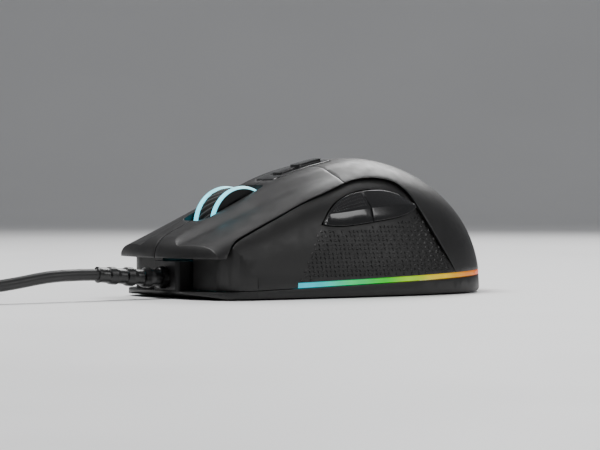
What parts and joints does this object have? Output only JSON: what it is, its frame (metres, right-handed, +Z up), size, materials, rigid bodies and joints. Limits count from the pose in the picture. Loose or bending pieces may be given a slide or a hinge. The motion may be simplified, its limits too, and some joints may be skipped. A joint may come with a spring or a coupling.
{
  "type": "computer mouse",
  "caption": "Corded gaming mouse with two main buttons, a lit scroll wheel, thumb and resolution buttons, textured grip panels and a light strip.",
  "frame": {"origin": "centre of the underside of the mouse's box, on the surface that it stands on, cable left out", "axes": "+Z up; -Y towards the front, where the cable leaves; +X towards the thumb side"},
  "size_m": [0.1003, 0.2445, 0.0428],
  "materials": {
    "shell_plastic": "soft-touch painted ABS, satin",
    "panel_plastic": "moulded ABS with a raised grip texture",
    "strip_light": "milky light guide, lit",
    "gloss_button": "polished ABS",
    "hub_plastic": "moulded",
    "wheel_rubber": "ribbed rubber",
    "ring_light": "milky light ring, lit",
    "inner_plastic": "moulded",
    "spring_steel": "drawn wire",
    "switch_case": "moulded",
    "plunger_plastic": "moulded",
    "board": "solder mask",
    "component": "moulded",
    "led": "clear resin",
    "clear_plastic": "polished",
    "cord_jacket": "extruded PVC jacket",
    "relief_rubber": "overmoulded PVC",
    "strap": "hook-and-loop",
    "plug_steel": "nickel plated",
    "screw_steel": "zinc plated",
    "foot": "slippery PTFE",
    "label": "blank polyester film"
  },
  "bodies": {
    "case": {"back_switch": "switch_case", "base_screws": "screw_steel", "base_shell": "shell_plastic", "board_header": "plunger_plastic", "board_parts": "component", "board_screws": "screw_steel", "controller_chip": "component", "cord": "cord_jacket", "cord_coil": "cord_jacket", "cord_tail": "cord_jacket", "cord_tie": "strap", "forward_switch": "switch_case", "front_feet": "foot", "inner_lead": "cord_jacket", "label_plate": "label", "lead_plug": "plunger_plastic", "left_side_panel": "panel_plastic", "left_switch": "switch_case", "light_strip": "strip_light", "main_board": "board", "palm_shell": "shell_plastic", "rear_feet": "foot", "resolution_board": "board", "resolution_frame": "gloss_button", "resolution_switch_front": "switch_case", "resolution_switch_rear": "switch_case", "right_side_panel": "panel_plastic", "right_switch": "switch_case", "scroll_encoder": "inner_plastic", "sensor": "component", "sensor_lens": "clear_plastic", "side_board": "board", "strain_relief": "relief_rubber", "strip_leds": "led", "usb_grip": "relief_rubber", "usb_shell": "plug_steel", "usb_tongue": "plunger_plastic", "wheel_spring": "spring_steel", "wheel_switch": "switch_case"},
    "back_button": {"back_button": "gloss_button"},
    "back_plunger": {"back_plunger": "plunger_plastic"},
    "forward_button": {"forward_button": "gloss_button"},
    "forward_plunger": {"forward_plunger": "plunger_plastic"},
    "left_button": {"left_button": "shell_plastic"},
    "left_plunger": {"left_plunger": "plunger_plastic"},
    "resolution_button_front": {"resolution_button_front": "gloss_button"},
    "resolution_button_rear": {"resolution_button_rear": "gloss_button"},
    "resolution_plunger_front": {"resolution_plunger_front": "plunger_plastic"},
    "resolution_plunger_rear": {"resolution_plunger_rear": "plunger_plastic"},
    "right_button": {"right_button": "shell_plastic"},
    "right_plunger": {"right_plunger": "plunger_plastic"},
    "wheel_carriage": {"wheel_carriage": "inner_plastic"},
    "wheel": {"wheel_hub": "hub_plastic", "wheel_ring_left": "ring_light", "wheel_ring_right": "ring_light", "wheel_tyre": "wheel_rubber"},
    "wheel_plunger": {"wheel_plunger": "plunger_plastic"}
  },
  "joints": [
    {"name": "left_press", "type": "hinge", "parent": "case", "child": "left_button", "pos_m": [0, -0.004, 0.029], "axis": [1, 0, 0], "range_deg": [0, 0.6], "stiffness_Nm_per_rad": 1.2},
    {"name": "left_plunger_slide", "type": "slide", "parent": "case", "child": "left_plunger", "axis": [0, 0, -1], "range_m": [0, 0.0004]},
    {"name": "right_press", "type": "hinge", "parent": "case", "child": "right_button", "pos_m": [0, -0.004, 0.029], "axis": [1, 0, 0], "range_deg": [0, 0.6], "stiffness_Nm_per_rad": 1.2},
    {"name": "right_plunger_slide", "type": "slide", "parent": "case", "child": "right_plunger", "axis": [0, 0, -1], "range_m": [0, 0.0004]},
    {"name": "wheel_press", "type": "slide", "parent": "case", "child": "wheel_carriage", "axis": [0, 0, -1], "range_m": [0, 0.0005], "stiffness_N_per_m": 1200, "deforming": ["wheel_spring"]},
    {"name": "wheel_spin", "type": "hinge", "parent": "wheel_carriage", "child": "wheel", "pos_m": [0, -0.0296, 0.0217], "axis": [1, 0, 0], "continuous": true},
    {"name": "wheel_plunger_slide", "type": "slide", "parent": "case", "child": "wheel_plunger", "axis": [0, 0, -1], "range_m": [0, 0.0005]},
    {"name": "forward_press", "type": "slide", "parent": "case", "child": "forward_button", "axis": [-1, 0, 0], "range_m": [0, 0.0006], "stiffness_N_per_m": 900},
    {"name": "forward_plunger_slide", "type": "slide", "parent": "case", "child": "forward_plunger", "axis": [-1, 0, 0], "range_m": [0, 0.0006]},
    {"name": "back_press", "type": "slide", "parent": "case", "child": "back_button", "axis": [-1, 0, 0], "range_m": [0, 0.0006], "stiffness_N_per_m": 900},
    {"name": "back_plunger_slide", "type": "slide", "parent": "case", "child": "back_plunger", "axis": [-1, 0, 0], "range_m": [0, 0.0006]},
    {"name": "resolution_press_front", "type": "slide", "parent": "case", "child": "resolution_button_front", "axis": [0, 0, -1], "range_m": [0, 0.0004], "stiffness_N_per_m": 900},
    {"name": "resolution_plunger_slide_front", "type": "slide", "parent": "case", "child": "resolution_plunger_front", "axis": [0, 0, -1], "range_m": [0, 0.0004]},
    {"name": "resolution_press_rear", "type": "slide", "parent": "case", "child": "resolution_button_rear", "axis": [0, 0, -1], "range_m": [0, 0.0004], "stiffness_N_per_m": 900},
    {"name": "resolution_plunger_slide_rear", "type": "slide", "parent": "case", "child": "resolution_plunger_rear", "axis": [0, 0, -1], "range_m": [0, 0.0004]}
  ],
  "couplings": [
    {"joint": "left_plunger_slide", "follows": "left_press", "m_per_rad": 0.0356},
    {"joint": "right_plunger_slide", "follows": "right_press", "m_per_rad": 0.0356},
    {"joint": "wheel_plunger_slide", "follows": "wheel_press", "ratio": 1},
    {"joint": "forward_plunger_slide", "follows": "forward_press", "ratio": 1},
    {"joint": "back_plunger_slide", "follows": "back_press", "ratio": 1},
    {"joint": "resolution_plunger_slide_front", "follows": "resolution_press_front", "ratio": 1},
    {"joint": "resolution_plunger_slide_rear", "follows": "resolution_press_rear", "ratio": 1}
  ]
}
